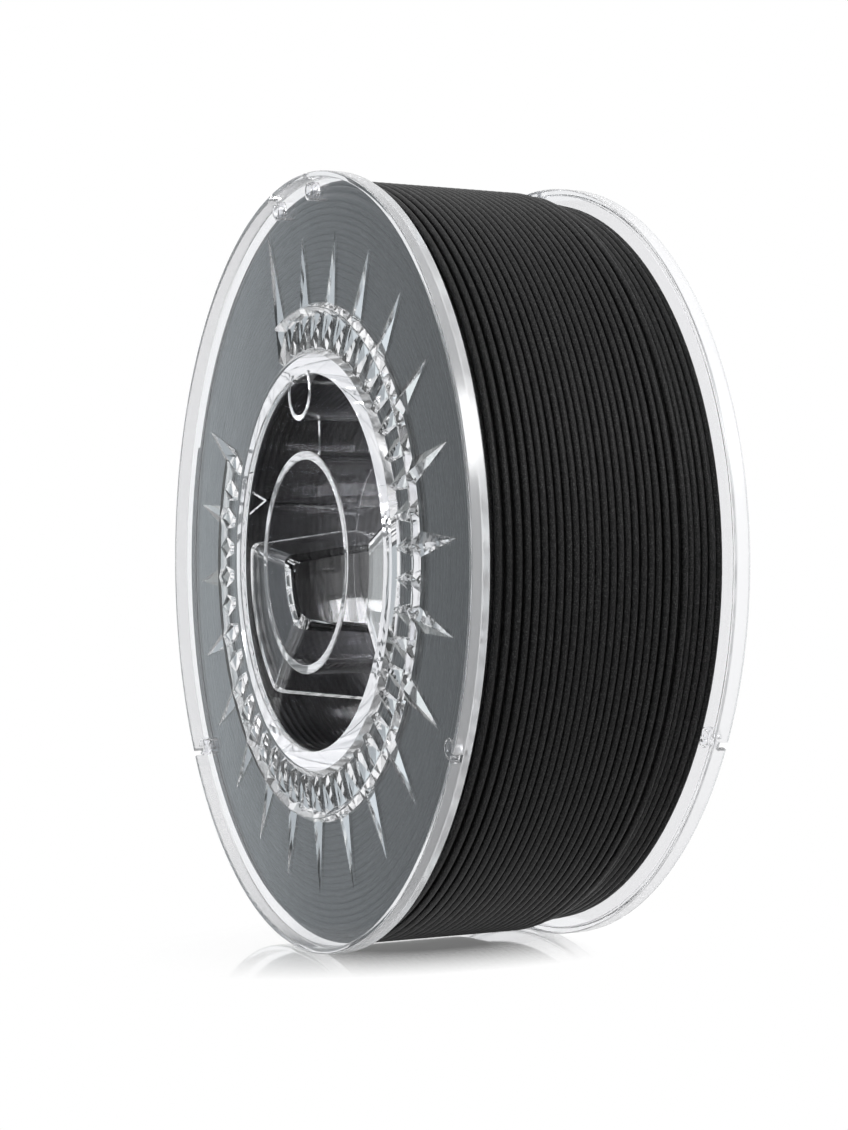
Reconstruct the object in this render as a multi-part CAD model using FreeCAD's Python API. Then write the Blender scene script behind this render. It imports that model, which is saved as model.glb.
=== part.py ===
import FreeCAD, Part
import math
import os
from FreeCAD import Vector

# Filament spool: two identical clear mouldings joined at mid width, wound with filament.
# Millimetres. Axis of the spool along Y, near flange at the lowest Y, Z up.
# Depths are measured inwards from a flange's outer plane, angles from X towards Z.

# Whole spool
SPOOL_DIAMETER = 200.0
SPOOL_WIDTH = 72.0
STANDING_TURN = 4.1
HALF_WIDTH = SPOOL_WIDTH / 2
RIM_RADIUS = SPOOL_DIAMETER / 2

# Flange disc and its rim lip
LIP_WIDTH = 1.5
WEB_FRONT = 3.3
WEB_BACK = 4.6

# Drum that carries the winding
DRUM_INNER = 48.7
DRUM_OUTER = 53.8
COLLAR_RADIUS = 53.8
COLLAR_FOOT = 55.5
COLLAR_DEPTH = 1.95

# Hub tube that turns on a spindle
BORE_RADIUS = 26.5
HUB_RADIUS = 28.9
HUB_DEPTH = 1.2

# Drive pin socket at the top of the drum
SOCKET_CENTRE = 44.7
SOCKET_OUTER = 7.8
SOCKET_INNER = 6.3
SOCKET_DEPTH = 1.4
RIB_THICKNESS = 1.2
RIB_DEPTH = 6.8

# Hollow arms between hub and drum, one to each side
ARM_DRUM_ANGLES = (169.6, 222.4)
ARM_HUB_ANGLES = (173.0, 215.0)
ARM_WALL = 1.9
ARM_DRAFT = 9.0
ARM_PLATE = 2.2
ARM_DEPTH_AT_DRUM = 5.0
ARM_DEPTH_AT_HUB = 7.0

# Small stiffening vee on the drum's inner wall
VEE_APEX = (-33.0, 19.4)
VEE_FEET = ((-43.7, 22.9), (-44.9, 17.0))
VEE_THICKNESS = 0.6
VEE_DEPTH = 4.0

# Sunburst: a ray at every step, and a bevelled band that joins them
STEP = 7.5
PLAIN_SECTOR = (105.0, 150.0)
SUNBURST_TURN = -0.6
BAND_INNER = 63.6
BAND_CREST = 65.9
BAND_OUTER = 67.0
BAND_CREST_DEPTH = 1.4
RAY_ROOT = 55.8
RAY_ROOT_DEPTH = 1.8
RAY_PEAK = 64.9
RAY_PEAK_DEPTH = 0.6
RAY_ROOT_HALF = 0.7
RAY_INNER_HALF = 3.1
RAY_CREST_HALF = 0.75
RAY_OUTER_HALF = 2.6
LONG_TIP = 85.6
SHORT_TIP = 67.8
LAST_TIP = 95.0

# Filament clips just inside the rim
CLIP_ANGLES = (83.0, 97.0, 210.0, 330.0)
CLIP_RADIUS = 95.4
CLIP_HOLE = 1.1
CLIP_NOTCH = 2.2

# Winding
FILAMENT_DIAMETER = 1.75
CORE_INNER = DRUM_OUTER + 0.3
CORE_RADIUS = 96.1
SHOULDER_RADIUS = 94.4
SHOULDER_WIDTH = 1.8
LAYER_CLEARANCE = 0.05
LAYER_START_GAP = 2.7
LAYER_WIDTH = 46.0
LAYER_LOOPS = 10
LAYER_START_ANGLE = 150.0
STRAND_SIDES = 3
GAP_STEPS = 360

AXIS = Vector(0, 1, 0)
ORIGIN = Vector(0, 0, 0)


def depth(value):
    """Y of a depth below the near flange's outer plane."""
    return value - HALF_WIDTH


def at(radius, angle, y=0.0):
    """Point at a radius and an angle round the spool's axis."""
    a = math.radians(angle)
    return Vector(radius * math.cos(a), y, radius * math.sin(a))


def turned(shape, angle):
    """Copy of a shape turned round the spool's axis, from X towards Z."""
    copy = shape.copy()
    copy.rotate(ORIGIN, AXIS, -angle)
    return copy


def cylinder(radius, y0, y1, x=0.0, z=0.0):
    return Part.makeCylinder(radius, y1 - y0, Vector(x, y0, z), AXIS)


def ring(inner, outer, y0, y1):
    return cylinder(outer, y0, y1).cut(cylinder(inner, y0 - 1, y1 + 1))


def prism(points, y0, y1):
    """Prism along Y over a closed outline of (x, z) points."""
    loop = [Vector(x, y0, z) for x, z in points]
    face = Part.Face(Part.makePolygon(loop + loop[:1]))
    return face.extrude(Vector(0, y1 - y0, 0))


def solid_of(loops):
    """Solid bounded by flat faces, each given as a loop of points in the same sense."""
    faces = [Part.Face(Part.makePolygon(list(loop) + [loop[0]])) for loop in loops]
    shell = Part.Shell(faces)
    solid = Part.Solid(shell)
    if solid.Volume < 0:
        shell.reverse()
        solid = Part.Solid(shell)
    return solid


def revolved(profile):
    """Solid of revolution of a closed (radius, depth) profile."""
    loop = [Vector(r, depth(d), 0) for r, d in profile]
    face = Part.Face(Part.makePolygon(loop + loop[:1]))
    return face.revolve(ORIGIN, AXIS, 360)


def flange_disc():
    """Web, rim lip and the collar with its sloping side in one turned profile."""
    return revolved([
        (DRUM_INNER, COLLAR_DEPTH), (COLLAR_RADIUS, COLLAR_DEPTH),
        (COLLAR_FOOT, WEB_FRONT), (RIM_RADIUS - LIP_WIDTH, WEB_FRONT),
        (RIM_RADIUS - LIP_WIDTH, 0.0), (RIM_RADIUS, 0.0),
        (RIM_RADIUS, WEB_BACK), (DRUM_INNER, WEB_BACK),
    ])


def ray_angles():
    """Angles of all rays, from one edge of the plain sector round to the other."""
    first = PLAIN_SECTOR[1] - 360
    count = int(round((PLAIN_SECTOR[0] - first) / STEP))
    return [first + k * STEP for k in range(count + 1)]


def ray_points(angle, tip):
    """Corners of one ray: ridge from root over peak to tip, and its feet on either side."""
    def corner(x, z, level):
        p = Vector(x, depth(level), z)
        turn = FreeCAD.Rotation(AXIS, -angle)
        return turn.multVec(p)

    points = {
        "root": corner(RAY_ROOT, 0, RAY_ROOT_DEPTH),
        "peak": corner(RAY_PEAK, 0, RAY_PEAK_DEPTH),
        "tip": corner(tip, 0, WEB_FRONT),
    }
    for side, sign in (("left", 1), ("right", -1)):
        points["root_" + side] = corner(RAY_ROOT, sign * RAY_ROOT_HALF, WEB_FRONT)
        points["inner_" + side] = corner(BAND_INNER, sign * RAY_INNER_HALF, WEB_FRONT)
        points["crest_" + side] = corner(BAND_CREST, sign * RAY_CREST_HALF, BAND_CREST_DEPTH)
        points["outer_" + side] = corner(BAND_OUTER, sign * RAY_OUTER_HALF, WEB_FRONT)
    return points


def ray_tip(angle):
    """Reach of a ray: long ones at even steps, short ones between, one extra long at the end."""
    if angle == PLAIN_SECTOR[0]:
        return LAST_TIP
    return LONG_TIP if round(angle / STEP) % 2 == 0 else SHORT_TIP


def sunburst():
    """Crown of cut rays and the bevelled band that runs through them, as one solid."""
    rays = [ray_points(angle, ray_tip(angle)) for angle in ray_angles()]
    loops = []
    for r in rays:
        loops.append([r["root_left"], r["root"], r["root_right"]])
        for side, order in (("left", 1), ("right", -1)):
            facets = [
                [r["root"], r["inner_" + side], r["root_" + side]],
                [r["root"], r["peak"], r["inner_" + side]],
                [r["inner_" + side], r["peak"], r["crest_" + side]],
                [r["crest_" + side], r["peak"], r["outer_" + side]],
                [r["outer_" + side], r["peak"], r["tip"]],
            ]
            loops += [facet[::order] for facet in facets]
    for here, there in zip(rays, rays[1:]):
        loops.append([here["inner_left"], here["crest_left"],
                      there["crest_right"], there["inner_right"]])
        loops.append([here["crest_left"], here["outer_left"],
                      there["outer_right"], there["crest_right"]])

    outline = []
    for r in rays:
        outline += [r["inner_right"], r["root_right"], r["root_left"], r["inner_left"]]
    outline += [rays[-1]["crest_left"]]
    for r in reversed(rays):
        outline += [r["outer_left"], r["tip"], r["outer_right"]]
    outline += [rays[0]["crest_right"]]
    sunk = [Vector(p.x, depth(WEB_FRONT + 0.5), p.z) for p in outline]
    for i in range(len(outline)):
        j = (i + 1) % len(outline)
        loops.append([outline[i], outline[j], sunk[j], sunk[i]])
    loops.append(sunk)
    return solid_of(loops)


def offset_line(p, q, distance):
    """Line p to q moved sideways, to the left of its direction seen from the near side."""
    dx, dz = q[0] - p[0], q[1] - p[1]
    length = math.hypot(dx, dz)
    nx, nz = -dz / length, dx / length
    return ((p[0] + nx * distance, p[1] + nz * distance),
            (q[0] + nx * distance, q[1] + nz * distance))


def arm_block(outset, front):
    """Tapered block of the left arm, its sides moved out and its sloping front cut at a depth."""
    def xz(radius, angle):
        p = at(radius, angle)
        return (p.x, p.z)

    def stretched(line):
        (ax, az), (bx, bz) = line
        return ((ax - 0.6 * (bx - ax), az - 0.6 * (bz - az)),
                (bx + 0.6 * (bx - ax), bz + 0.6 * (bz - az)))

    upper = (xz(HUB_RADIUS, ARM_HUB_ANGLES[0]), xz(DRUM_INNER, ARM_DRUM_ANGLES[0]))
    lower = (xz(HUB_RADIUS, ARM_HUB_ANGLES[1]), xz(DRUM_INNER, ARM_DRUM_ANGLES[1]))
    loops = []
    for y in (ARM_DEPTH_AT_DRUM - 2, HALF_WIDTH):
        spread = outset + (y - ARM_DEPTH_AT_DRUM) * math.tan(math.radians(ARM_DRAFT))
        a = stretched(offset_line(*upper, -spread))
        b = stretched(offset_line(*lower, spread))
        corners = [a[0], a[1], b[1], b[0]]
        loop = [Vector(x, depth(y), z) for x, z in corners]
        loops.append(Part.makePolygon(loop + loop[:1]))
    block = Part.makeLoft(loops, True, True)
    slope = (ARM_DEPTH_AT_HUB - ARM_DEPTH_AT_DRUM) / (DRUM_INNER - HUB_RADIUS)
    near_x, far_x = -15.0, -60.0
    near_y = depth(ARM_DEPTH_AT_HUB + front + slope * (HUB_RADIUS + near_x))
    far_y = depth(ARM_DEPTH_AT_HUB + front + slope * (HUB_RADIUS + far_x))
    outline = [Vector(near_x, near_y, -60), Vector(far_x, far_y, -60),
               Vector(far_x, depth(-5), -60), Vector(near_x, depth(-5), -60)]
    face = Part.Face(Part.makePolygon(outline + outline[:1]))
    return block.cut(face.extrude(Vector(0, 0, 120)))


def joined(shapes):
    """Union of shapes, taken one after the other."""
    union = shapes[0]
    for shape in shapes[1:]:
        union = union.fuse(shape)
    return union


def mirrored_pair(shape):
    return [shape, shape.mirror(ORIGIN, Vector(1, 0, 0))]


def clip_cuts():
    """Cuts of the filament clips: a hole through the web and a notch out to the rim."""
    half = CLIP_NOTCH / 2
    outline = [(CLIP_RADIUS + 1.5, -half), (RIM_RADIUS + 1, -half),
               (RIM_RADIUS + 1, half), (CLIP_RADIUS + 1.5, half)]
    hole = cylinder(CLIP_HOLE, depth(-1), depth(WEB_BACK + 1), CLIP_RADIUS)
    notch = prism(outline, depth(-1), depth(WEB_FRONT - 0.8))
    return [turned(tool, angle) for angle in CLIP_ANGLES for tool in (hole, notch)]


def flange_half():
    """One moulded half: flange, half of the drum, half of the hub and the arms between."""
    drum = ring(DRUM_INNER, DRUM_OUTER, depth(COLLAR_DEPTH), 0)
    hub = ring(BORE_RADIUS, HUB_RADIUS, depth(HUB_DEPTH), 0)
    body = flange_disc().fuse(turned(sunburst(), SUNBURST_TURN))

    annulus = ring(BORE_RADIUS + 0.8, DRUM_INNER + 1.0, depth(0), 0)
    arms = mirrored_pair(arm_block(0, 0).common(annulus))
    hollow_zone = ring(BORE_RADIUS - 1, DRUM_INNER, depth(0), 1)
    hollows = mirrored_pair(arm_block(-ARM_WALL, ARM_PLATE).common(hollow_zone))

    socket = cylinder(SOCKET_OUTER, depth(SOCKET_DEPTH), 0, 0, SOCKET_CENTRE)
    well = cylinder(SOCKET_INNER, depth(-1), 1, 0, SOCKET_CENTRE)
    rib_half = RIB_THICKNESS / 2
    rib_top = SOCKET_CENTRE - SOCKET_OUTER + 0.5
    rib = prism([(-rib_half, HUB_RADIUS - 0.8), (rib_half, HUB_RADIUS - 0.8),
                 (rib_half, rib_top), (-rib_half, rib_top)], depth(RIB_DEPTH), 0)

    legs = []
    for foot in VEE_FEET:
        dx, dz = foot[0] - VEE_APEX[0], foot[1] - VEE_APEX[1]
        reach = 1 + 3.0 / math.hypot(dx, dz)
        end = (VEE_APEX[0] + dx * reach, VEE_APEX[1] + dz * reach)
        a = offset_line(VEE_APEX, end, VEE_THICKNESS / 2)
        b = offset_line(VEE_APEX, end, -VEE_THICKNESS / 2)
        legs.append(prism([a[0], a[1], b[1], b[0]], depth(VEE_DEPTH), 0))
    legs = [leg.common(cylinder(DRUM_INNER + 1, depth(0), 0)) for leg in legs]

    core = joined([drum, hub] + arms + [socket, rib] + legs)
    body = body.fuse(core)
    for tool in hollows + [well] + clip_cuts():
        body = body.cut(tool)

    return body.removeSplitter()


def wound_core():
    """Inner layers as one ring that fills the width and falls off at its two shoulders."""
    side = [(CORE_INNER, WEB_BACK), (SHOULDER_RADIUS, WEB_BACK),
            (CORE_RADIUS, WEB_BACK + SHOULDER_WIDTH)]
    other = [(radius, SPOOL_WIDTH - level) for radius, level in reversed(side)]
    return revolved(side + other)


def helix_point(radius, turn, start_y, pitch):
    """Point of the strand's centre line after a number of turns."""
    return at(radius, LAYER_START_ANGLE + 360 * turn, start_y + pitch * turn)


def helix_direction(radius, turn, pitch):
    """Direction in which the strand runs after a number of turns."""
    a = math.radians(LAYER_START_ANGLE + 360 * turn)
    direction = Vector(-radius * math.sin(a), pitch / (2 * math.pi), radius * math.cos(a))
    return direction.normalize()


def biarc(p0, t0, p1, t1):
    """Two arcs that run smoothly from one point and direction to the next."""
    chord = p1 - p0
    both = t0 + t1
    spread = 2 * (1 - t0.dot(t1))
    along = chord.dot(both)
    reach = (math.sqrt(along * along + spread * chord.dot(chord)) - along) / spread
    q0 = p0 + t0 * reach
    q1 = p1 - t1 * reach
    joint = (q0 + q1) * 0.5
    edges = []
    for start, corner, end in ((p0, q0, joint), (joint, q1, p1)):
        weight = (end - start).Length / (2 * reach)
        middle = (start + corner * (2 * weight) + end) * (1 / (2 + 2 * weight))
        edges.append(Part.Arc(start, middle, end).toShape())
    return edges


def wound_layer():
    """Top layer of the winding: one unbroken strand in open loops over the core."""
    wire = FILAMENT_DIAMETER / 2
    radius = CORE_RADIUS + LAYER_CLEARANCE + wire
    start_y = depth(WEB_BACK) + LAYER_START_GAP
    pitch = LAYER_WIDTH / LAYER_LOOPS
    end_length = FILAMENT_DIAMETER
    first = helix_point(radius, 0, start_y, pitch)
    heading = helix_direction(radius, 0, pitch)
    edges = [Part.LineSegment(first - heading * end_length, first).toShape()]
    for k in range(2 * LAYER_LOOPS):
        a, b = k / 2, (k + 1) / 2
        edges += biarc(helix_point(radius, a, start_y, pitch), helix_direction(radius, a, pitch),
                       helix_point(radius, b, start_y, pitch), helix_direction(radius, b, pitch))
    last = helix_point(radius, LAYER_LOOPS, start_y, pitch)
    heading = helix_direction(radius, LAYER_LOOPS, pitch)
    edges.append(Part.LineSegment(last, last + heading * end_length).toShape())
    path = Part.Wire(edges)

    centre = edges[0].Vertexes[0].Point
    outward = at(1, LAYER_START_ANGLE)
    section = [centre + outward * wire]
    for side in range(1, STRAND_SIDES):
        across = wire * (2 * side - STRAND_SIDES) / (STRAND_SIDES - 2)
        section.append(centre - outward * wire + Vector(0, across, 0))
    profile = Part.makePolygon(section + section[:1])
    tube = path.makePipeShell([profile], True, False)
    report_gap(radius, start_y, pitch)
    return tube if tube.ShapeType == "Solid" else Part.Solid(tube)


def report_gap(radius, start_y, pitch):
    """Print the least gap of the strand to itself, measured on points of its centre line."""
    steps = GAP_STEPS
    points = [helix_point(radius, k / steps, start_y, pitch) for k in range(3 * steps)]
    probe = points[0]
    nearest = min((points[k] - probe).Length for k in range(steps // 2, 3 * steps))
    print("least gap of the strand to itself: %.2f mm" % (nearest - FILAMENT_DIAMETER))
    print("loops: %d, pitch %.2f mm" % (LAYER_LOOPS, pitch))


def build():
    near = flange_half()
    far = near.copy()
    far.rotate(ORIGIN, Vector(0, 0, 1), 180)
    nodes = {
        "near_flange": near,
        "far_flange": far,
        "filament_core": wound_core(),
        "filament_outer_layer": wound_layer(),
    }
    os.makedirs("parts", exist_ok=True)
    for name, shape in nodes.items():
        shape = turned(shape, STANDING_TURN)
        shape.exportStep("parts/%s.step" % name)
        print("%-22s solids %d valid %s volume %.0f mm3" % (
            name, len(shape.Solids), shape.isValid(), shape.Volume))


build()
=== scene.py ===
import logging
import math
import random
from dataclasses import dataclass, field
from enum import Enum

import bmesh
import bpy
from mathutils import Matrix, Vector


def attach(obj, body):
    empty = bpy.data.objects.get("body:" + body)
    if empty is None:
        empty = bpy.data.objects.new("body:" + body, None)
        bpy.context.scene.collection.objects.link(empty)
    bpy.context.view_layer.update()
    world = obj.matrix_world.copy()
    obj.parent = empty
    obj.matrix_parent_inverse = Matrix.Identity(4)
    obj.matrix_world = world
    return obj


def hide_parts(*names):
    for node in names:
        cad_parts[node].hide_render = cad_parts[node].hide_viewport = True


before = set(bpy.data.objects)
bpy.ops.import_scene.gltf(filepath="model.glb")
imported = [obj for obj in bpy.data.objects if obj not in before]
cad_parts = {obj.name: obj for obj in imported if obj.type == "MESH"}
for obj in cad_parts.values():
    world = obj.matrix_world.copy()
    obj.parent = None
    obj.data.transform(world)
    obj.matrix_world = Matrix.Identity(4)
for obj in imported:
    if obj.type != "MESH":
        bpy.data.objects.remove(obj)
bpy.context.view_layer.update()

MM = 0.001
BODY = "root"
LOG = logging.getLogger("filament_spool")

Point2 = tuple[float, float]
Point3 = tuple[float, float, float]
Face = tuple[int, ...]
Colour = tuple[float, float, float, float]
Piece = bpy.types.Object
Finish = bpy.types.Material

WHITE: Colour = (1.0, 1.0, 1.0, 1.0)
FULL_WEIGHT = 100


class Side(Enum):
    """Which of the two flange halves a piece belongs to."""

    NEAR = "near"
    FAR = "far"


class Slot(Enum):
    """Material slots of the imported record."""

    CLEAR_PLASTIC = "clear_plastic"
    FILAMENT = "filament"


class Joining(Enum):
    """Ways to combine two solids."""

    UNION = "UNION"
    CUT = "DIFFERENCE"
    COMMON = "INTERSECT"


# Mesh helpers


def add_object(name: str, data: bpy.types.ID) -> Piece:
    """Make an object round a mesh, a light or a camera, and link it to the scene.

    Args:
        name: Name of the object.
        data: What the object holds.

    Returns:
        The new object.
    """
    thing = bpy.data.objects.new(name, data)
    bpy.context.scene.collection.objects.link(thing)
    return thing


def orient_outward(thing: Piece) -> None:
    """Make all faces of a closed mesh point outwards.

    Args:
        thing: Object whose mesh is changed.
    """
    shape = bmesh.new()
    shape.from_mesh(thing.data)
    bmesh.ops.recalc_face_normals(shape, faces=shape.faces)
    shape.to_mesh(thing.data)
    shape.free()


def mesh_object(name: str, vertices: list[Point3], faces: list[Face], closed: bool = True) -> Piece:
    """Make a mesh object from vertices and faces.

    Args:
        name: Name of the object and of its mesh.
        vertices: Points in metres.
        faces: Corner indices of each face.
        closed: Whether it is a solid, whose faces are then made to point outwards.

    Returns:
        The new object.
    """
    mesh = bpy.data.meshes.new(name)
    mesh.from_pydata(vertices, [], faces)
    mesh.update()
    made = add_object(name, mesh)
    if closed:
        orient_outward(made)
    return made


def copy_of(thing: Piece, name: str) -> Piece:
    """Copy of an object with a mesh of its own."""
    return add_object(name, thing.data.copy())


def drop(thing: Piece) -> None:
    """Remove an object and its mesh.

    Args:
        thing: Object that isn't needed any more.
    """
    mesh = thing.data
    bpy.data.objects.remove(thing)
    bpy.data.meshes.remove(mesh)


def point_at(radius: float, angle: float, y: float) -> Point3:
    """Point at a radius and an angle in degrees, from X towards Z, given in millimetres."""
    a = math.radians(angle)
    return (radius * math.cos(a) * MM, y * MM, radius * math.sin(a) * MM)


def ring_faces(rings: int, count: int, closed: bool) -> list[Face]:
    """Faces between rings of points that follow each other.

    Args:
        rings: How many rings there are.
        count: Points in each ring.
        closed: Whether the last ring joins the first.

    Returns:
        Corner indices of each face.
    """
    faces: list[Face] = []
    for ring in range(rings if closed else rings - 1):
        here, there = ring * count, (ring + 1) % rings * count
        for i in range(count):
            j = (i + 1) % count
            faces.append((here + i, here + j, there + j, there + i))
    return faces


def lathe(name: str, profile: list[Point2], steps: int, centre: Point2 = (0.0, 0.0)) -> Piece:
    """Turn a closed profile round an axis that runs along Y.

    Args:
        name: Name of the new object.
        profile: Closed loop of (radius, y) points in millimetres.
        steps: Number of steps round the axis.
        centre: X and Z of the axis in millimetres.

    Returns:
        The turned solid.
    """
    cx, cz = centre
    vertices: list[Point3] = []
    for step in range(steps):
        angle = 2 * math.pi * step / steps
        c, s = math.cos(angle), math.sin(angle)
        vertices += [((cx + r * c) * MM, y * MM, (cz + r * s) * MM) for r, y in profile]
    return mesh_object(name, vertices, ring_faces(steps, len(profile), True))


def prism(name: str, outline: list[Point2], ends: Point2) -> Piece:
    """Prism along Y over a closed outline.

    Args:
        name: Name of the new object.
        outline: Closed loop of (x, z) points in millimetres.
        ends: Y of both ends in millimetres.

    Returns:
        The prism.
    """
    count = len(outline)
    vertices = [(x * MM, y * MM, z * MM) for y in ends for x, z in outline]
    faces: list[Face] = [tuple(range(count)), tuple(range(2 * count - 1, count - 1, -1))]
    for i in range(count):
        j = (i + 1) % count
        faces.append((i, i + count, j + count, j))
    return mesh_object(name, vertices, faces)


def rod(name: str, radius: float, ends: Point2, centre: Point2, steps: int) -> Piece:
    """Round rod along Y.

    Args:
        name: Name of the new object.
        radius: Radius in millimetres.
        ends: Y of both ends in millimetres.
        centre: X and Z of its axis in millimetres.
        steps: Number of its sides.

    Returns:
        The rod.
    """
    turns = (2 * math.pi * k / steps for k in range(steps))
    outline = [(centre[0] + radius * math.cos(a), centre[1] + radius * math.sin(a)) for a in turns]
    return prism(name, outline, ends)


def soften(corners: list[Point3], steps: int = 3) -> list[Point2]:
    """Round the corners of a closed outline.

    Args:
        corners: Points in plan, each with the radius of its rounding.
        steps: Straight runs that make up each rounding.

    Returns:
        The outline with its roundings as points.
    """
    outline: list[Point2] = []
    for k, (x, y, radius) in enumerate(corners):
        here = Vector((x, y))
        before = (Vector(corners[k - 1][:2]) - here).normalized()
        after = (Vector(corners[(k + 1) % len(corners)][:2]) - here).normalized()
        if radius <= 0:
            outline.append((x, y))
            continue
        half = before.angle(after) / 2
        centre = here + (before + after).normalized() * (radius / math.sin(half))
        start = here + before * (radius / math.tan(half)) - centre
        end = here + after * (radius / math.tan(half)) - centre
        sweep = start.angle(end)
        for step in range(steps + 1):
            part = step / steps
            spoke = start * math.sin((1 - part) * sweep) + end * math.sin(part * sweep)
            spot = centre + spoke / math.sin(sweep)
            outline.append((spot.x, spot.y))
    return outline


def turn_about_axis(thing: Piece, angle: float) -> Piece:
    """Turn a mesh round the spool's axis, from X towards Z, by an angle in degrees."""
    thing.data.transform(Matrix.Rotation(math.radians(-angle), 4, "Y"))
    return thing


def apply_modifiers(thing: Piece) -> None:
    """Put what an object's modifiers make in the place of its mesh.

    Args:
        thing: Object whose modifiers are used up.
    """
    graph = bpy.context.evaluated_depsgraph_get()
    mesh = bpy.data.meshes.new_from_object(thing.evaluated_get(graph))
    thing.modifiers.clear()
    old = thing.data
    thing.data = mesh
    bpy.data.meshes.remove(old)


def combine(base: Piece, tool: Piece, way: Joining) -> Piece:
    """Combine a solid with a tool solid, which is used up.

    Args:
        base: Solid that is changed.
        tool: Solid that is added, taken away or intersected.
        way: What to do with the two.

    Returns:
        The changed base.
    """
    modifier = base.modifiers.new("combine", "BOOLEAN")
    modifier.object = tool
    modifier.operation = way.value
    modifier.solver = "EXACT"
    apply_modifiers(base)
    drop(tool)
    return base


def shade_by_angle(thing: Piece, angle: float) -> None:
    """Shade smoothly, with sharp edges where faces meet steeply.

    Args:
        thing: Object whose mesh is changed.
        angle: Degrees above which an edge is sharp.
    """
    shape = bmesh.new()
    shape.from_mesh(thing.data)
    limit = math.radians(angle)
    for face in shape.faces:
        face.smooth = True
    for edge in shape.edges:
        edge.smooth = edge.is_manifold and edge.calc_face_angle(math.pi) <= limit
    shape.to_mesh(thing.data)
    shape.free()


def keep_flats_true(thing: Piece) -> None:
    """Weight the shading by face size, so that flat faces stay flat beside their fillets.

    Args:
        thing: Object whose mesh is changed.
    """
    modifier = thing.modifiers.new("true_flats", "WEIGHTED_NORMAL")
    modifier.mode = "FACE_AREA"
    modifier.weight = FULL_WEIGHT
    modifier.keep_sharp = True
    apply_modifiers(thing)


# Finishes


class NodeSheet:
    """Short way to lay out the nodes of a material or of the surroundings."""

    def __init__(self, owner: Finish | bpy.types.World, output: str = "OutputMaterial") -> None:
        """Start with a node tree that holds nothing but its output.

        Args:
            owner: Material or world that the nodes are for.
            output: Type of the output node without the leading "ShaderNode".
        """
        owner.use_nodes = True
        self.owner, self.tree = owner, owner.node_tree
        self.tree.nodes.clear()
        self.output = self.node(output)

    def node(self, kind: str, **values: object) -> bpy.types.Node:
        """Add a node and set its properties or its input sockets.

        Args:
            kind: Blender's node type without the leading "ShaderNode".
            **values: Properties of the node, or input sockets with spaces as underscores.

        Returns:
            The new node.
        """
        made = self.tree.nodes.new("ShaderNode" + kind)
        for key, value in values.items():
            if hasattr(made, key):
                setattr(made, key, value)
            else:
                made.inputs[key.replace("_", " ")].default_value = value
        return made

    def join(self, *links: tuple[bpy.types.Node, str | int, bpy.types.Node, str | int]) -> None:
        """Make links, each given as a node, its output, another node and its input."""
        for source, output, target, entry in links:
            self.tree.links.new(source.outputs[output], target.inputs[entry])


@dataclass(frozen=True)
class ClearPolystyrene:
    """Clear moulded plastic with polished or satin faces and a faint flow ripple."""

    name: str = "clear_polystyrene"
    ior: float = 1.59
    roughness: float = 0.03
    clearness: float = 1.0
    tint: Colour = (0.978, 0.98, 0.996, 1.0)
    ripple: float = 0.02
    ripple_scale: float = 60.0
    ripple_detail: float = 2.0
    ripple_height: float = 0.001

    def material(self) -> Finish:
        """Build the material.

        Returns:
            A refractive plastic.
        """
        sheet = NodeSheet(bpy.data.materials.new(self.name))
        place = sheet.node("TexCoord")
        flow = sheet.node("TexNoise", Scale=self.ripple_scale, Detail=self.ripple_detail)
        bump = sheet.node("Bump", Strength=self.ripple, Distance=self.ripple_height)
        shader = sheet.node("BsdfPrincipled", Base_Color=self.tint, Roughness=self.roughness,
                            IOR=self.ior, Transmission_Weight=self.clearness)
        sheet.join(
            (place, "Object", flow, "Vector"),
            (flow, "Fac", bump, "Height"),
            (bump, "Normal", shader, "Normal"),
            (shader, 0, sheet.output, "Surface"),
        )
        return sheet.owner


@dataclass(frozen=True)
class SpeckledFilament:
    """Matte black filament with fine fibres and grey specks."""

    name: str = "speckled_filament"
    base: Colour = (0.005, 0.005, 0.0053, 1.0)
    speck: Colour = (0.075, 0.075, 0.075, 1.0)
    speck_scale: float = 3600.0
    speck_detail: float = 2.0
    speck_roughness: float = 0.6
    speck_range: Point2 = (0.5, 0.72)
    grain_scale: float = 1500.0
    grain_detail: float = 4.0
    grain_roughness: float = 0.7
    grain_strength: float = 0.8
    grain_height: float = 0.00015
    roughness: float = 0.42
    gloss: float = 0.12

    def material(self) -> Finish:
        """Build the material.

        Returns:
            A matte plastic with specks and a fine grain.
        """
        sheet = NodeSheet(bpy.data.materials.new(self.name))
        place = sheet.node("TexCoord")
        specks = sheet.node("TexNoise", Scale=self.speck_scale, Detail=self.speck_detail,
                            Roughness=self.speck_roughness)
        grain = sheet.node("TexNoise", Scale=self.grain_scale, Detail=self.grain_detail,
                           Roughness=self.grain_roughness)
        ramp = sheet.node("ValToRGB")
        colours = (self.base, self.speck)
        for stop, position, colour in zip(ramp.color_ramp.elements, self.speck_range, colours):
            stop.position, stop.color = position, colour
        bump = sheet.node("Bump", Strength=self.grain_strength, Distance=self.grain_height)
        shader = sheet.node("BsdfPrincipled", Roughness=self.roughness,
                            Specular_IOR_Level=self.gloss)
        sheet.join(
            (place, "Object", specks, "Vector"),
            (place, "Object", grain, "Vector"),
            (specks, "Fac", ramp, "Fac"),
            (ramp, "Color", shader, "Base Color"),
            (grain, "Fac", bump, "Height"),
            (bump, "Normal", shader, "Normal"),
            (shader, 0, sheet.output, "Surface"),
        )
        return sheet.owner


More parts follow.
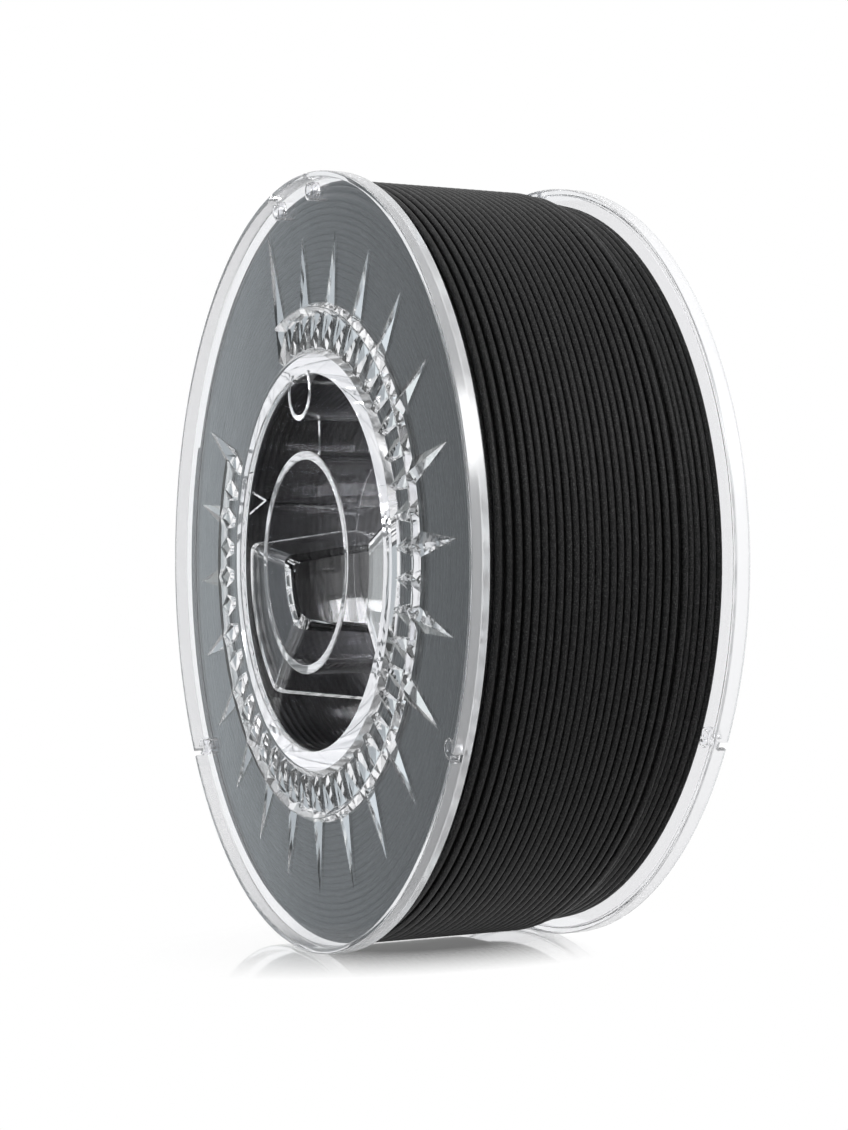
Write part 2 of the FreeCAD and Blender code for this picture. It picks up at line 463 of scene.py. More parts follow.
@dataclass(frozen=True)
class WhiteSweep:
    """Glossy white floor that mirrors the spool, keeps its shadow and fades away round it."""

    colour: Colour = (0.97, 0.97, 0.97, 1.0)
    lift: float = 0.5
    mirror: float = 0.7
    mirror_roughness: float = 0.05
    reach: Point2 = (0.045, 0.08)
    fade_start: float = 0.35
    fade_end: float = 1.05

    def material(self) -> Finish:
        """Build the material.

        Returns:
            A lacquered white that turns see-through away from the spool.
        """
        sheet = NodeSheet(bpy.data.materials.new("white_sweep"))
        place = sheet.node("TexCoord")
        squeeze = sheet.node("VectorMath", operation="MULTIPLY")
        squeeze.inputs[1].default_value = (1 / self.reach[0], 1 / self.reach[1], 1.0)
        length = sheet.node("VectorMath", operation="LENGTH")
        fade = sheet.node("MapRange", From_Min=self.fade_start, From_Max=self.fade_end)
        paint = sheet.node("BsdfDiffuse", Color=self.colour)
        lacquer = sheet.node("BsdfGlossy", Color=self.colour, Roughness=self.mirror_roughness)
        coated = sheet.node("MixShader", Fac=self.mirror)
        path = sheet.node("LightPath")
        gloss = sheet.node("Math", operation="MAXIMUM")
        seen = sheet.node("Math", operation="MAXIMUM")
        strength = sheet.node("Math", operation="MULTIPLY")
        strength.inputs[1].default_value = self.lift
        glow = sheet.node("Emission")
        lifted = sheet.node("AddShader")
        clear = sheet.node("BsdfTransparent")
        mix = sheet.node("MixShader")
        sheet.join(
            (path, "Is Camera Ray", gloss, 0),
            (path, "Is Glossy Ray", gloss, 1),
            (gloss, 0, seen, 0),
            (path, "Is Transmission Ray", seen, 1),
            (seen, 0, strength, 0),
            (strength, 0, glow, "Strength"),
            (paint, 0, lifted, 0),
            (glow, 0, lifted, 1),
            (lifted, 0, coated, 1),
            (lacquer, 0, coated, 2),
            (place, "Object", squeeze, 0),
            (squeeze, 0, length, 0),
            (length, "Value", fade, "Value"),
            (fade, "Result", mix, 0),
            (coated, 0, mix, 1),
            (clear, 0, mix, 2),
            (mix, 0, sheet.output, "Surface"),
        )
        return sheet.owner


# Pieces of the spool


@dataclass(frozen=True)
class SpoolSizes:
    """Sizes that the sub-assemblies share, in millimetres."""

    width: float = 72.0
    seam: float = 0.03
    rim_radius: float = 99.97
    web_front: float = 3.3
    web_back: float = 4.6
    bore_radius: float = 26.5
    hub_radius: float = 28.9
    drum_inner: float = 48.7
    drum_outer: float = 53.8
    standing_turn: float = 4.1
    beyond: Point2 = (-2.0, 50.0)

    @property
    def end(self) -> float:
        """Depth at which a half ends, just short of mid width."""
        return self.width / 2 - self.seam

    def depth(self, value: float) -> float:
        """Y of a depth below the near flange's outer plane."""
        return value - self.width / 2

    def tube(self, name: str, radii: Point2, depths: Point2, centre: Point2 = (0.0, 0.0),
             rounding: float = 0.0, steps: int = 144) -> Piece:
        """Ring-shaped solid.

        Args:
            name: Name of the new object.
            radii: Inner and outer radius.
            depths: Where it starts and ends.
            centre: X and Z of its axis.
            rounding: Radius of its front edges.
            steps: Number of steps round the axis.

        Returns:
            The solid.
        """
        (inner, outer), (front, back) = radii, (self.depth(d) for d in depths)
        corners = [(inner, front, rounding), (outer, front, rounding),
                   (outer, back, 0), (inner, back, 0)]
        return lathe(name, soften(corners), steps, centre)


@dataclass
class SpoolPart:
    """Anything that is built to the spool's shared sizes."""

    sizes: SpoolSizes = SpoolSizes()


@dataclass
class Sunburst(SpoolPart):
    """Crown of cut rays, and the bevelled band that runs over them in an unbroken arc."""

    step: float = 7.5
    first: float = -210.0
    last: float = 105.0
    turn: float = -0.6
    band_section: tuple[Point3, ...] = ((62.99, 3.8, 0.0), (65.9, 1.4, 0.25), (67.29, 3.8, 0.0))
    band_steps: int = 360
    root: float = 56.2
    root_foot: float = 55.0
    root_half: float = 0.6
    root_depth: float = 1.58
    shoulder: float = 64.6
    shoulder_half: float = 3.4
    long_tip: float = 85.6
    short_end: float = 66.3
    short_half: float = 2.9
    last_tip: float = 95.0
    sink: float = 0.5

    def ray(self, angle: float) -> tuple[list[Point3], list[Face]]:
        """One ray as a closed roof with a straight ridge, in its own frame and in millimetres.

        Args:
            angle: Where the ray points, in degrees, which decides how far it reaches.

        Returns:
            Vertices as (along, depth, across) and faces.
        """
        short = angle != self.last and round(angle / self.step) % 2 != 0
        reach = self.last_tip if angle == self.last else self.long_tip
        web = self.sizes.web_front
        fall = (web - self.root_depth) / (reach - self.root)
        feet = [(self.root_foot, self.root_half), (self.shoulder, self.shoulder_half)]
        ridge = [self.root, self.shoulder]
        if short:
            feet.append((self.short_end, self.short_half))
            ridge.append(self.short_end)
        tops = [(x, self.root_depth + fall * (x - self.root), 0.0) for x in ridge]
        left = [(x, web, half) for x, half in feet]
        right = [(x, web, -half) for x, half in reversed(feet)]
        outline = left + ([] if short else [(reach, web, 0.0)]) + right
        count = len(outline)
        vertices = outline + [(x, web + self.sink, z) for x, _, z in outline] + tops
        top, last = 2 * count, count - 1
        faces: list[Face] = [tuple(range(count, 2 * count))]
        faces += [(k, (k + 1) % count, (k + 1) % count + count, k + count) for k in range(count)]
        faces += [(0, top, last), (0, 1, top), (top, 1, top + 1),
                  (last, top, last - 1), (top, top + 1, last - 1)]
        if short:
            faces += [(1, 2, top + 2), (1, top + 2, top + 1), (last - 1, top + 2, last - 2),
                      (last - 1, top + 1, top + 2), (2, last - 2, top + 2)]
        else:
            faces += [(1, 2, top + 1), (last - 1, top + 1, 2)]
        return vertices, faces

    def rays(self) -> Piece:
        """All rays in one mesh.

        Returns:
            The crown of rays.
        """
        vertices: list[Point3] = []
        faces: list[Face] = []
        count = int(round((self.last - self.first) / self.step)) + 1
        for k in range(count):
            angle = self.first + k * self.step
            c, s = math.cos(math.radians(angle)), math.sin(math.radians(angle))
            own, sides = self.ray(angle)
            base = len(vertices)
            vertices += [((x * c - z * s) * MM, self.sizes.depth(depth) * MM, (x * s + z * c) * MM)
                         for x, depth, z in own]
            faces += [tuple(base + i for i in side) for side in sides]
        return turn_about_axis(mesh_object("crown_rays", vertices, faces), self.turn)

    def band(self) -> Piece:
        """Bevelled band from the first ray to the last.

        Returns:
            The band.
        """
        section = soften(list(self.band_section))
        count, steps = len(section), self.band_steps
        vertices: list[Point3] = []
        for k in range(steps + 1):
            angle = self.first + (self.last - self.first) * k / steps
            vertices += [point_at(r, angle, self.sizes.depth(depth)) for r, depth in section]
        faces: list[Face] = [tuple(range(count)), tuple(range(steps * count, (steps + 1) * count))]
        faces += ring_faces(steps + 1, count, False)
        return turn_about_axis(mesh_object("crown_band", vertices, faces), self.turn)


@dataclass
class HollowArms(SpoolPart):
    """Two tapered hollow arms between hub and drum, with rounded front edges."""

    hub_angles: Point2 = (173.0, 215.0)
    drum_angles: Point2 = (169.6, 222.4)
    draft: float = 9.0
    depth_at_drum: float = 5.0
    depth_at_hub: float = 7.0
    wall: float = 1.9
    plate: float = 2.2
    rounding: float = 2.0
    hollow_rounding: float = 2.4
    rounding_steps: int = 5
    overrun: float = 0.6
    hub_sink: float = 0.8
    margin: float = 1.0

    def side_line(self, hub_angle: float, drum_angle: float, shift: float) -> list[Point2]:
        """One side of the arm as a line in plan that runs past hub and drum.

        Args:
            hub_angle: Where the side meets the hub, in degrees.
            drum_angle: Where it meets the drum, in degrees.
            shift: How far the line is moved sideways.

        Returns:
            Both ends of the line.
        """
        h, d = math.radians(hub_angle), math.radians(drum_angle)
        hub, drum, past = self.sizes.hub_radius, self.sizes.drum_inner, self.overrun
        p = (hub * math.cos(h), hub * math.sin(h))
        q = (drum * math.cos(d), drum * math.sin(d))
        dx, dz = q[0] - p[0], q[1] - p[1]
        length = math.hypot(dx, dz)
        nx, nz = -dz / length * shift, dx / length * shift
        return [(p[0] + nx - past * dx, p[1] + nz - past * dz),
                (q[0] + nx + past * dx, q[1] + nz + past * dz)]

    def plan(self, depth: float, outset: float) -> list[Point2]:
        """Corners of the arm in plan at a depth.

        Args:
            depth: Depth below the near flange's outer plane.
            outset: How far the sides stand out from the arm's own.

        Returns:
            Four corners, from hub to drum and back.
        """
        spread = outset + (depth - self.depth_at_drum) * math.tan(math.radians(self.draft))
        one = self.side_line(self.hub_angles[0], self.drum_angles[0], -spread)
        other = self.side_line(self.hub_angles[1], self.drum_angles[1], spread)
        return one + other[::-1]

    def block(self, name: str, outset: float, plate: float, rounding: float, back: float) -> Piece:
        """Block of the arm or of its hollow, before it is cut to the hub and the drum.

        Args:
            name: Name of the new object.
            outset: How far its sides stand out from the arm's own, negative for the hollow.
            plate: Thickness of the front plate that it leaves.
            rounding: Radius of its front edges.
            back: Depth at which it ends.

        Returns:
            The block, for the arm at negative X.
        """
        hub, drum = self.sizes.hub_radius, self.sizes.drum_inner
        slope = (self.depth_at_hub - self.depth_at_drum) / (drum - hub)
        near, far = self.plan(0.0, outset), self.plan(back, outset)
        front = []
        for (x0, z0), (x1, z1) in zip(near, far):
            rate = (x1 - x0) / back
            level = (self.depth_at_hub + plate + slope * (hub + x0)) / (1 - slope * rate)
            part = level / back
            front.append((x0 + (x1 - x0) * part, level, z0 + (z1 - z0) * part))
        corners = front + [(x, back, z) for x, z in far]
        vertices = [(x * MM, self.sizes.depth(depth) * MM, z * MM) for x, depth, z in corners]
        faces: list[Face] = [(0, 1, 2, 3), (7, 6, 5, 4)]
        faces += [(k, (k + 1) % 4, (k + 1) % 4 + 4, k + 4) for k in range(4)]
        block = mesh_object(name, vertices, faces)
        shape = bmesh.new()
        shape.from_mesh(block.data)
        edges = [edge for edge in shape.edges if all(v.index < 4 for v in edge.verts)]
        bmesh.ops.bevel(shape, geom=edges, offset=rounding * MM, segments=self.rounding_steps,
                        profile=0.5, affect="EDGES")
        bmesh.ops.recalc_face_normals(shape, faces=shape.faces)
        shape.to_mesh(block.data)
        shape.free()
        return block

    def solids(self) -> tuple[list[Piece], list[Piece]]:
        """Both arms and the hollows in them, cut to the hub and the drum.

        Returns:
            The arms, and the hollows.
        """
        z = self.sizes
        arm = self.block("arm_left", 0.0, 0.0, self.rounding, z.end)
        hollow = self.block("hollow_left", -self.wall, self.plate, self.hollow_rounding,
                            z.width / 2 + self.margin)
        radii = (z.bore_radius + self.hub_sink, z.drum_inner + self.margin)
        combine(arm, z.tube("arm_zone", radii, z.beyond), Joining.COMMON)
        radii = (z.bore_radius - self.margin, z.drum_inner)
        combine(hollow, z.tube("hollow_zone", radii, z.beyond), Joining.COMMON)
        pairs = []
        for left in (arm, hollow):
            right = copy_of(left, left.name.replace("left", "right"))
            right.data.transform(Matrix.Scale(-1.0, 4, (1, 0, 0)))
            orient_outward(right)
            pairs.append([left, right])
        return pairs[0], pairs[1]


@dataclass
class DriveSocket(SpoolPart):
    """Socket for a drive pin inside the drum, and the rib between it and the hub."""

    centre: float = 44.7
    radii: Point2 = (6.3, 7.8)
    depth: float = 1.4
    rounding: float = 0.3
    steps: int = 72
    drum_sink: float = 0.9
    zone_back: float = 20.0
    zone_steps: int = 144
    rib_depth: float = 6.8
    rib_thickness: float = 1.2
    rib_sinks: Point2 = (0.8, 0.5)

    def solids(self) -> list[Piece]:
        """Socket and rib.

        Returns:
            The socket, cut to the drum, and the rib.
        """
        z = self.sizes
        socket = z.tube("drive_socket", self.radii, (self.depth, z.end), (0.0, self.centre),
                        self.rounding, self.steps)
        ends = (z.depth(z.beyond[0]), self.zone_back)
        zone = rod("socket_zone", z.drum_inner + self.drum_sink, ends, (0.0, 0.0), self.zone_steps)
        combine(socket, zone, Joining.COMMON)
        half = self.rib_thickness / 2
        low = z.hub_radius - self.rib_sinks[0]
        top = self.centre - self.radii[1] + self.rib_sinks[1]
        outline = [(-half, low), (half, low), (half, top), (-half, top)]
        return [socket, prism("socket_rib", outline, (z.depth(self.rib_depth), -z.seam))]


@dataclass
class StiffeningVee(SpoolPart):
    """Small vee of two thin legs on the drum's inner wall."""

    apex: Point2 = (-33.0, 19.4)
    feet: tuple[Point2, Point2] = ((-43.7, 22.9), (-44.9, 17.0))
    depth: float = 4.0
    leg_offset: float = 0.01
    thickness: float = 0.6
    apex_overrun: float = 0.2
    foot_overrun: float = 3.0
    drum_sink: float = 1.0
    zone_inner: float = 10.0

    def solids(self) -> list[Piece]:
        """Both legs, cut to the drum.

        Returns:
            The legs.
        """
        z, half = self.sizes, self.thickness / 2
        legs = []
        for k, foot in enumerate(self.feet):
            dx, dz = foot[0] - self.apex[0], foot[1] - self.apex[1]
            length = math.hypot(dx, dz)
            ux, uz = dx / length, dz / length
            reach = length + self.foot_overrun
            x = self.apex[0] - ux * self.apex_overrun * (k + 1)
            y = self.apex[1] - uz * self.apex_overrun * (k + 1)
            outline = [(x - uz * half, y + ux * half),
                       (x - uz * half + ux * reach, y + ux * half + uz * reach),
                       (x + uz * half + ux * reach, y - ux * half + uz * reach),
                       (x + uz * half, y - ux * half)]
            front = z.depth(self.depth + self.leg_offset * k)
            leg = prism("vee_leg_%d" % k, outline, (front, -z.seam))
            radii = (self.zone_inner, z.drum_inner + self.drum_sink)
            legs.append(combine(leg, z.tube("vee_zone", radii, z.beyond), Joining.COMMON))
        return legs


@dataclass
class FilamentClips(SpoolPart):
    """Holes near the rim for the filament's end, each in a loop that opens to the rim."""

    angles: tuple[float, ...] = (83.0, 97.0, 210.0, 330.0)
    radius: float = 95.4
    loop_radii: Point2 = (1.75, 2.45)
    loop_rise: float = 2.3
    loop_sink: float = 0.3
    loop_rounding: float = 0.2
    loop_steps: int = 48
    hole_radius: float = 1.1
    hole_depths: Point2 = (-2.0, 8.0)
    hole_steps: int = 32
    notch_half: float = 1.1
    notch_start: float = 1.5
    notch_overrun: float = 1.0
    notch_floor: float = 0.8

    def solids(self) -> tuple[list[Piece], list[Piece]]:
        """Loops, and the holes and notches that are cut.

        Returns:
            The loops, and the cuts.
        """
        z, half = self.sizes, self.notch_half
        centre = (self.radius, 0.0)
        rise = (z.web_front - self.loop_rise, z.web_front + self.loop_sink)
        hole_ends = (z.depth(self.hole_depths[0]), z.depth(self.hole_depths[1]))
        notch_ends = (z.depth(-self.notch_overrun), z.depth(z.web_front - self.notch_floor))
        start, stop = self.radius + self.notch_start, z.rim_radius + self.notch_overrun
        opening = [(start, -half), (stop, -half), (stop, half), (start, half)]
        loops, cuts = [], []
        for k, angle in enumerate(self.angles):
            loop = z.tube("clip_loop_%d" % k, self.loop_radii, rise, centre, self.loop_rounding,
                          self.loop_steps)
            hole = rod("clip_hole_%d" % k, self.hole_radius, hole_ends, centre, self.hole_steps)
            notch = prism("clip_notch_%d" % k, opening, notch_ends)
            for piece in (loop, hole, notch):
                turn_about_axis(piece, angle)
            loops.append(loop)
            cuts += [hole, notch]
        return loops, cuts


@dataclass
class FlangeHalf(SpoolPart):
    """One moulded half: flange with its crown, half of the drum and hub, arms and sockets."""

    crown: Sunburst = field(default_factory=Sunburst)
    arms: HollowArms = field(default_factory=HollowArms)
    socket: DriveSocket = field(default_factory=DriveSocket)
    vee: StiffeningVee = field(default_factory=StiffeningVee)
    clips: FilamentClips = field(default_factory=FilamentClips)
    lip_width: float = 1.5
    collar_depth: float = 1.95
    collar_foot: float = 55.5
    roundings: tuple[float, ...] = (0.35, 0.3, 0.3, 0.4, 0.35, 0.5, 0.4, 0.5, 0.0, 0.2)
    rounding_steps: int = 4
    steps: int = 288
    hub_depth: float = 1.2
    hub_rounding: float = 0.35
    hub_steps: int = 216
    crease: float = 14.0
    rim_margin: float = 0.3
    rim_facing: float = 0.8

    def disc_and_drum(self) -> Piece:
        """Web, rim lip, collar and drum wall as one turned body.

        Returns:
            The body.
        """
        z = self.sizes
        lip = z.rim_radius - self.lip_width
        points = ((z.drum_inner, self.collar_depth), (z.drum_outer, self.collar_depth),
                  (self.collar_foot, z.web_front), (lip, z.web_front), (lip, 0.0),
                  (z.rim_radius, 0.0), (z.rim_radius, z.web_back), (z.drum_outer, z.web_back),
                  (z.drum_outer, z.end), (z.drum_inner, z.end))
        corners = [(*point, rounding) for point, rounding in zip(points, self.roundings)]
        profile = [(r, z.depth(d)) for r, d in soften(corners, self.rounding_steps)]
        return lathe("flange_disc", profile, self.steps)

    def moulding(self, name: str) -> Piece:
        """Build the half in its own frame, with its outer plane at the lowest Y.

        Args:
            name: Name of the new object.

        Returns:
            The half as one solid.
        """
        z = self.sizes
        hub = z.tube("hub", (z.bore_radius, z.hub_radius), (self.hub_depth, z.end),
                     rounding=self.hub_rounding, steps=self.hub_steps)
        arms, hollows = self.arms.solids()
        loops, cuts = self.clips.solids()
        body = self.disc_and_drum()
        added = [self.crown.rays(), self.crown.band(), hub, *arms]
        added += self.socket.solids() + self.vee.solids() + loops
        for piece in added:
            combine(body, piece, Joining.UNION)
        for tool in hollows + cuts:
            combine(body, tool, Joining.CUT)
        body.name = name
        body.data.name = name
        return body

    def dress(self, piece: Piece, polished: Finish, satin: Finish) -> None:
        """Give a half its polished faces, and the rim's outer face its satin one.

        Args:
            piece: The half.
            polished: Material of the clear plastic.
            satin: Material of the rim's outer face.
        """
        piece.data.materials.clear()
        for finish in (polished, satin):
            piece.data.materials.append(finish)
        edge = self.sizes.rim_radius - self.rim_margin
        for face in piece.data.polygons:
            outward = Vector((face.center.x, 0.0, face.center.z))
            facing = face.normal.dot(outward.normalized())
            face.material_index = int(outward.length / MM > edge and facing > self.rim_facing)

    def build(self, polished: Finish, satin: Finish) -> list[Piece]:
        """Build both halves, which are the same moulding, and dress them.

        Args:
            polished: Material of the clear plastic.
            satin: Material of the rim's outer face.

        Returns:
            The near and the far half.
        """
        near = self.moulding("moulded_half_near")
        far = copy_of(near, "moulded_half_far")
        far.data.transform(Matrix.Rotation(math.pi, 4, "Z"))
        for piece, side in ((near, Side.NEAR), (far, Side.FAR)):
            turn_about_axis(piece, self.sizes.standing_turn)
            shade_by_angle(piece, self.crease)
            keep_flats_true(piece)
            self.dress(piece, polished, satin)
            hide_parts(side.value + "_flange")
            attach(piece, BODY)
        return [near, far]


@dataclass
class Winding(SpoolPart):
    """Filament on the drum: inner layers as one body, and the outer strand on top of them."""

    strand_radius: float = 0.875
    drum_gap: float = 0.2
    web_gap: float = 0.05
    shoulder_radius: float = 94.4
    shoulder_width: float = 1.8
    upper_radius: float = 98.1
    upper_clearance: float = 0.25
    lower_radius: float = 96.0
    lower_clearance: float = 0.1
    layer_end: float = 17.2
    layer_slope: float = 0.6
    bead_pitch: float = 1.62
    bead_height: float = 0.8
    bead_steps: int = 5
    bead_sink: float = 0.35
    bead_seed: int = 7
    groove_pitch: float = 1.95
    groove_depth: float = 0.55
    groove_steps: int = 6
    core_steps: int = 240
    core_crease: float = 50.0
    upper_gaps: tuple[float, ...] = (
        -29.62, -26.92, -24.44, -21.97, -19.72, -17.72, -15.70, -13.69, -11.68, -9.64, -7.86, -5.81,
        -4.02, -2.22, -0.15, 1.66, 3.74, 5.56, 7.66, 9.76, 11.61, 13.73, 16.11, 18.25)
    lower_gaps: tuple[float, ...] = (21.7, 23.3, 25.2, 27.2, 29.1)
    first_rise: float = 0.6
    last_drop: float = 0.3
    step_down: Point2 = (0.3, 0.8)
    step_drift: float = 0.1
    crossing_path: tuple[Point3, ...] = (
        (0.0, 96.3, 20.3), (0.2, 96.4, 20.4), (0.24, 96.5, 20.7), (0.257, 96.6, 21.4),
        (0.274, 96.6, 23.2), (0.29, 96.6, 25.8), (0.306, 96.5, 27.3), (0.33, 96.4, 28.2))
    crossing_end: float = 0.75
    strand_start: float = -25.0
    strand_steps: int = 144
    strand_sides: int = 12
    strand_crease: float = 60.0
    wander: float = 0.1
    wander_phase: float = 6.28
    wander_seed: int = 11

    def core_profile(self) -> list[Point2]:
        """Section of the inner layers, with their beads and grooves.

        Returns:
            Closed loop of (radius, y) points.
        """
        chance = random.Random(self.bead_seed)
        inner = self.sizes.drum_outer + self.drum_gap
        front = self.sizes.depth(self.sizes.web_back) + self.web_gap
        count = int((self.shoulder_radius - inner) / self.bead_pitch)
        pitch = (self.shoulder_radius - inner) / count
        side: list[Point2] = []
        for k in range(count):
            sink = chance.uniform(0.0, self.bead_sink)
            for step in range(self.bead_steps):
                angle = math.pi * (step + 0.5) / self.bead_steps
                radius = inner + pitch * (k + 0.5 - 0.5 * math.cos(angle))
                side.append((radius, front + sink + self.bead_height * (1 - math.sin(angle))))
        back = [(radius, -y) for radius, y in reversed(side)]
        under_upper = self.upper_radius - 2 * self.strand_radius - self.upper_clearance
        under_lower = self.lower_radius - self.strand_radius - self.lower_clearance
        top = [(under_upper, front + self.shoulder_width), (under_upper, self.layer_end),
               (under_lower, self.layer_end + self.layer_slope),
               (under_lower, -front - self.layer_slope)]
        first, last = -side[0][1], side[0][1]
        loops = int((first - last) / self.groove_pitch)
        inside: list[Point2] = []
        for k in range(loops):
            for step in range(1, self.groove_steps):
                part = step / self.groove_steps
                groove = self.groove_depth * (1 - math.sin(math.pi * part))
                inside.append((inner + groove, first + (last - first) * ((k + part) / loops)))
        return side + top + back + inside

    def strand_centres(self) -> list[Point2]:
        """Where each turn of the outer strand starts.

        Returns:
            Radius and Y of the strand's centre for each turn, near flange first.
        """
        upper = self.upper_radius - self.strand_radius
        lower = self.lower_radius - self.strand_radius
        first = self.sizes.depth(self.sizes.web_back) + self.strand_radius + self.web_gap
        turns = [(self.shoulder_radius + self.first_rise, first)]
        turns += [(upper, (a + b) / 2) for a, b in zip(self.upper_gaps, self.upper_gaps[1:])]
        turns.append(self.crossing_path[0][1:])
        turns += [(lower, (a + b) / 2) for a, b in zip(self.lower_gaps, self.lower_gaps[1:])]
        turns.append((lower - self.last_drop, -first))
        return turns

    def place(self, turns: list[Point2], turn: float) -> Point2:
        """Radius and Y of the strand's centre after a number of turns.

        The last turn of the top layer steps down behind. The next one crosses the layer below at
        the top of the spool and steps down behind too.

        Args:
            turns: Radius and Y at the start of each turn.
            turn: How many turns have been run since the first pair.

        Returns:
            Radius and Y of the strand's centre.
        """
        turn = min(max(turn, 0.0), len(turns) - 1.0)
        k = min(int(turn), len(turns) - 2)
        (radius, y), (next_radius, next_y), part = turns[k], turns[k + 1], turn - k
        leave, arrive = self.step_down
        stops = [(0.0, radius, y)]
        if k == len(self.upper_gaps) - 1:
            stops += [(leave, radius, y + self.step_drift), (arrive, next_radius, next_y)]
        elif k == len(self.upper_gaps):
            stops = [*self.crossing_path, (self.crossing_end, next_radius, next_y)]
        stops.append((1.0, next_radius, next_y))
        for (p0, r0, y0), (p1, r1, y1) in zip(stops, stops[1:]):
            if part <= p1:
                run = (part - p0) / (p1 - p0)
                return (r0 + (r1 - r0) * run, y0 + (y1 - y0) * run)
        return (next_radius, next_y)

    def strand(self) -> Piece:
        """Outer strand as one unbroken tube in open loops.

        Returns:
            The tube.
        """
        turns, sides = self.strand_centres(), self.strand_sides
        chance = random.Random(self.wander_seed)
        phases = [chance.uniform(0, self.wander_phase) for _ in range(len(turns) + 2)]
        half_turn = self.strand_steps // 2
        vertices: list[Point3] = []
        for step in range(-half_turn, len(turns) * self.strand_steps - half_turn):
            turn = step / self.strand_steps
            whole = math.floor(turn)
            radius, y = self.place(turns, turn)
            wave = math.sin(2 * math.radians(360.0 * turn) + phases[whole + 1])
            y += self.wander * wave * math.sin(math.pi * (turn - whole))
            angle = self.strand_start + 360.0 * turn
            centre = Vector(point_at(radius, angle, y))
            outward = Vector(point_at(1 / MM, angle, 0.0))
            for side in range(sides):
                a = 2 * math.pi * side / sides
                offset = outward * math.cos(a) + Vector((0, 1, 0)) * math.sin(a)
                vertices.append(tuple(centre + offset * self.strand_radius * MM))
        faces = ring_faces(len(vertices) // sides, sides, False)
        faces += [tuple(range(sides))[::-1], tuple(range(len(vertices)))[-sides:]]
        tube = mesh_object("winding_outer_strand", vertices, faces)
        shade_by_angle(tube, self.strand_crease)
        return tube

    def build(self, pressed: Finish, loose: Finish) -> list[Piece]:
        """Build and dress the winding.

        Args:
            pressed: Material of the inner layers, which lie against the clear plastic.
            loose: Material of the outer strand.

        Returns:
            The pieces of the winding.
        """
        core = lathe("winding_inner_layers", self.core_profile(), self.core_steps)
        shade_by_angle(core, self.core_crease)
        strand = self.strand()
        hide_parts("filament_core")
        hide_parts("filament_outer_layer")
        for piece, finish in ((core, pressed), (strand, loose)):
            turn_about_axis(piece, self.sizes.standing_turn)
            piece.data.materials.append(finish)
            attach(piece, BODY)
        return [core, strand]


# Studio


@dataclass(frozen=True)
class SoftBox:
    """Square area light that faces the spool: its place and side in metres, and its watts."""

    name: str
    place: Point3
    side: float
    power: float

    def build(self) -> None:
        """Hang the light."""
        data = bpy.data.lights.new(self.name, "AREA")
        data.shape = "SQUARE"
        data.size = self.side
        data.energy = self.power
        light = add_object(self.name, data)
        light.location = self.place
        light.rotation_euler = (-Vector(self.place)).to_track_quat("-Z", "Y").to_euler()


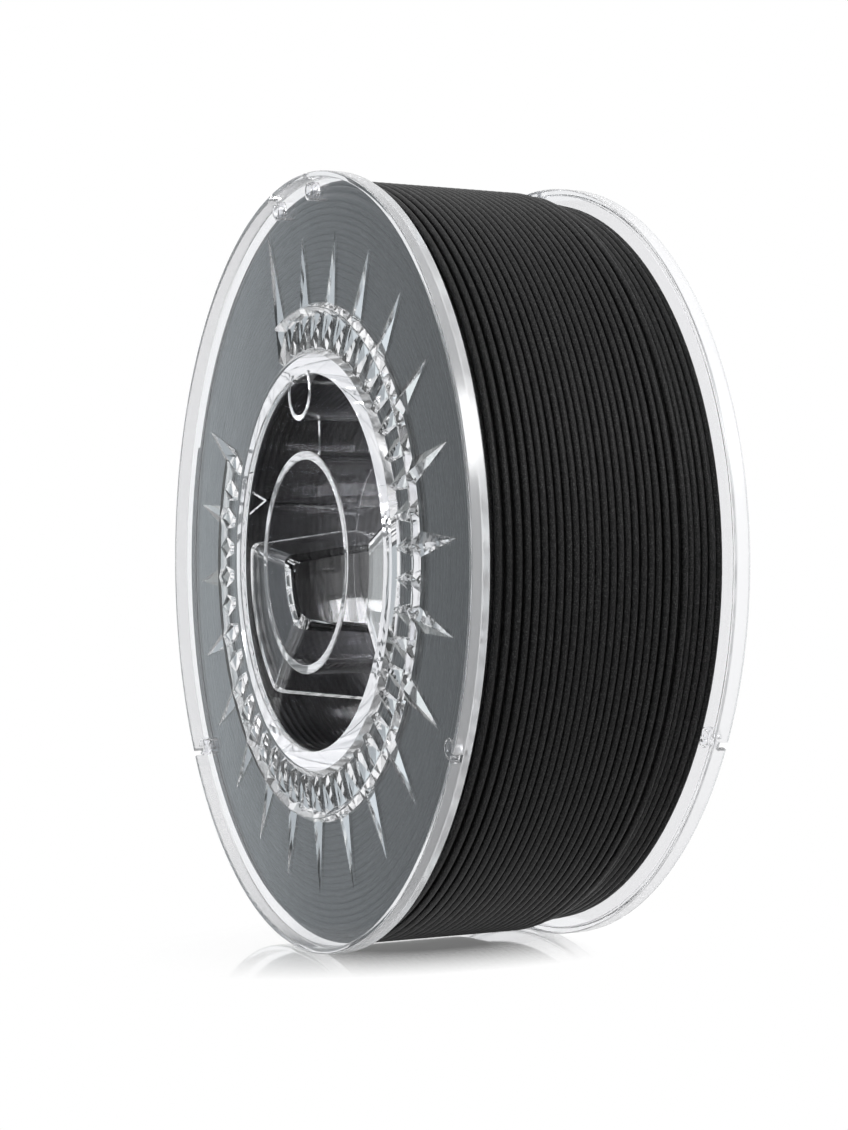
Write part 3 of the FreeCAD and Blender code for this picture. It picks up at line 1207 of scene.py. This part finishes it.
@dataclass(frozen=True)
class Studio:
    """Floor, surroundings and soft boxes round the spool."""

    floor_z: float = -0.1
    floor_radius: float = 0.9
    floor_steps: int = 64
    world_fill: float = 0.5
    card_levels: tuple[Point2, ...] = (
        (-163.0, 1.0), (-160.5, 0.87), (-157.8, 0.52), (-154.0, 0.43), (-125.0, 0.43),
        (-105.0, 1.0))
    card_height: Point2 = (0.35, 0.6)
    card_tint: Point3 = (0.93, 1.01, 1.06)
    lamps: tuple[SoftBox, ...] = (
        SoftBox("soft_box_top", (0.1, -0.15, 0.9), 0.9, 1.5),
        SoftBox("soft_box_front", (0.85, 0.38, 0.6), 0.4, 6.0))
    bounces: int = 48
    clear_bounces: int = 32

    def floor(self) -> None:
        """Round white floor under the rims."""
        steps, reach = self.floor_steps, self.floor_radius
        turns = (2 * math.pi * k / steps for k in range(steps))
        vertices = [(0.0, 0.0, 0.0)]
        vertices += [(reach * math.cos(a), reach * math.sin(a), 0.0) for a in turns]
        faces = [(0, 1 + k, 1 + (k + 1) % steps) for k in range(steps)]
        floor = mesh_object("floor", vertices, faces, closed=False)
        floor.location = (0.0, 0.0, self.floor_z)
        floor.data.materials.append(WhiteSweep().material())

    def world(self) -> None:
        """White surroundings with a grey card on one side, and a soft fill for matte faces."""
        world = bpy.data.worlds.new("white_studio")
        bpy.context.scene.world = world
        sheet = NodeSheet(world, "OutputWorld")
        direction = sheet.node("TexCoord")
        parts = sheet.node("SeparateXYZ")
        azimuth = sheet.node("Math", operation="ARCTAN2")
        turn = sheet.node("MapRange", From_Min=-math.pi, From_Max=0.0)
        side = sheet.node("ValToRGB")
        ramp = side.color_ramp
        for stop, position in zip(ramp.elements, (0.0, 1.0)):
            stop.position, stop.color = position, WHITE
        for angle, level in self.card_levels:
            stop = ramp.elements.new((angle + 180.0) / 180.0)
            stop.color = (*(min(level * c, 1.0) for c in self.card_tint), 1.0)
        height = sheet.node("Math", operation="ABSOLUTE")
        reach = sheet.node("MapRange", From_Min=self.card_height[0], From_Max=self.card_height[1])
        card = sheet.node("Mix", data_type="RGBA")
        card.inputs["B"].default_value = WHITE
        seen = sheet.node("Background")
        hidden = sheet.node("Background", Color=WHITE)
        fill = sheet.node("Background", Color=WHITE, Strength=self.world_fill)
        path = sheet.node("LightPath")
        gloss = sheet.node("Math", operation="MAXIMUM")
        shiny = sheet.node("MixShader")
        all_rays = sheet.node("MixShader")
        sheet.join(
            (direction, "Generated", parts, 0),
            (parts, "Y", azimuth, 0),
            (parts, "X", azimuth, 1),
            (azimuth, 0, turn, "Value"),
            (turn, "Result", side, "Fac"),
            (parts, "Z", height, 0),
            (height, 0, reach, "Value"),
            (reach, "Result", card, "Factor"),
            (side, "Color", card, "A"),
            (card, "Result", seen, "Color"),
            (path, "Is Glossy Ray", gloss, 0),
            (path, "Is Transmission Ray", gloss, 1),
            (gloss, 0, shiny, 0),
            (fill, 0, shiny, 1),
            (seen, 0, shiny, 2),
            (path, "Is Camera Ray", all_rays, 0),
            (shiny, 0, all_rays, 1),
            (hidden, 0, all_rays, 2),
            (all_rays, 0, sheet.output, "Surface"),
        )

    def build(self) -> None:
        """Set up floor, surroundings and lights, and let light pass through many clear walls."""
        paths = bpy.context.scene.cycles
        paths.max_bounces = self.bounces
        paths.glossy_bounces = paths.transmission_bounces = self.clear_bounces
        self.floor()
        self.world()
        for lamp in self.lamps:
            lamp.build()


@dataclass(frozen=True)
class PhotoCamera:
    """Camera at the photograph's viewpoint."""

    place: Point3 = (0.5189, -0.2447, -0.0003)
    right: Point3 = (0.42605, 0.90469, -0.00407)
    forward: Point3 = (-0.90470, 0.42605, -0.00087)
    focal: float = 68.85
    sensor: float = 36.0
    nearest: float = 0.01

    def build(self) -> None:
        """Create the camera and make it the scene's own."""
        data = bpy.data.cameras.new("photo_camera")
        data.sensor_width = self.sensor
        data.lens = self.focal
        data.clip_start = self.nearest
        camera = add_object("photo_camera", data)
        right = Vector(self.right).normalized()
        back = -Vector(self.forward).normalized()
        up = back.cross(right).normalized()
        right = up.cross(back).normalized()
        turn = Matrix((right, up, back)).transposed().to_4x4()
        camera.matrix_world = Matrix.Translation(self.place) @ turn
        bpy.context.scene.camera = camera


def main() -> None:
    """Build the spool and its studio, piece by piece."""
    logging.basicConfig(level=logging.INFO, format="%(name)s: %(message)s")
    bpy.context.scene.view_settings.view_transform = "Standard"
    PhotoCamera().build()
    Studio().build()
    clear = ClearPolystyrene().material()
    satin = ClearPolystyrene("satin_polystyrene", roughness=0.22, clearness=0.72).material()
    pressed = SpeckledFilament("pressed_filament", roughness=0.4, gloss=0.4).material()
    loose = SpeckledFilament().material()
    for piece in Winding().build(pressed, loose) + FlangeHalf().build(clear, satin):
        LOG.info("%s built, %d faces", piece.name, len(piece.data.polygons))


if __name__ == "__main__":
    main()
